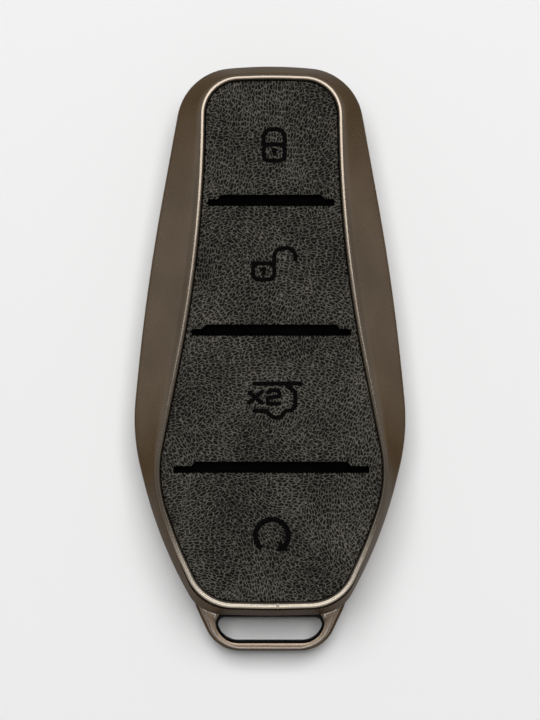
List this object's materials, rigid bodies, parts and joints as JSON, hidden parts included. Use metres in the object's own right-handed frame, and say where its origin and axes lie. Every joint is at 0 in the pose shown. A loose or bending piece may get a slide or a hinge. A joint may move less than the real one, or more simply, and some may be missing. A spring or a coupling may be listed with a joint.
{
  "type": "key fob cover",
  "caption": "Clip-on cover for a car key fob: two metal half shells with leather panels, press keys over the fob's buttons, and a slotted loop for a key ring.",
  "frame": {"origin": "centre of the resting outline at the rear rim's plane, z = 0", "axes": "+Z out of the front face with the keys, +Y to the narrow end away from the loop, +X to the right seen from the front"},
  "size_m": [0.0444, 0.0962, 0.0186],
  "materials": {
    "bronze_frame": "satin bronze-brown coating on cast zinc alloy",
    "polished_ring": "polished, warm grey plated zinc alloy",
    "leather": "dark grey crackle-grain leather, matt",
    "black_rubber": "matt black silicone rubber",
    "moulded_liner": "matt black moulded liner",
    "board": "plain black board",
    "cushion": "thin black foam sheet",
    "print": "flat black print"
  },
  "bodies": {
    "rear_half": {"rear_frame": "bronze_frame", "rear_leather": "leather", "rear_board": "board", "rear_liner": "moulded_liner", "rear_cushion": "cushion", "slot_bush": "black_rubber"},
    "front_half": {"front_frame": "bronze_frame", "trim_ring": "polished_ring", "front_liner": "moulded_liner", "button_mat": "black_rubber", "front_leather": "leather"},
    "lock_key": {"lock_leather": "leather", "lock_pad": "black_rubber", "lock_mark": "print"},
    "unlock_key": {"unlock_leather": "leather", "unlock_pad": "black_rubber", "unlock_mark": "print"},
    "boot_key": {"boot_leather": "leather", "boot_pad": "black_rubber", "boot_mark": "print"},
    "start_key": {"start_leather": "leather", "start_pad": "black_rubber", "start_mark": "print"}
  },
  "joints": [
    {"name": "front_lift", "type": "slide", "parent": "rear_half", "child": "front_half", "axis": [0, 0, 1], "range_m": [0, 0.025]},
    {"name": "lock_press", "type": "slide", "parent": "front_half", "child": "lock_key", "axis": [0, 0, -1], "range_m": [0, 0.0005], "stiffness_N_per_m": 2000},
    {"name": "unlock_press", "type": "slide", "parent": "front_half", "child": "unlock_key", "axis": [0, 0, -1], "range_m": [0, 0.0005], "stiffness_N_per_m": 2000},
    {"name": "boot_press", "type": "slide", "parent": "front_half", "child": "boot_key", "axis": [0, 0, -1], "range_m": [0, 0.0005], "stiffness_N_per_m": 2000},
    {"name": "start_press", "type": "slide", "parent": "front_half", "child": "start_key", "axis": [0, 0, -1], "range_m": [0, 0.0005], "stiffness_N_per_m": 2000}
  ]
}
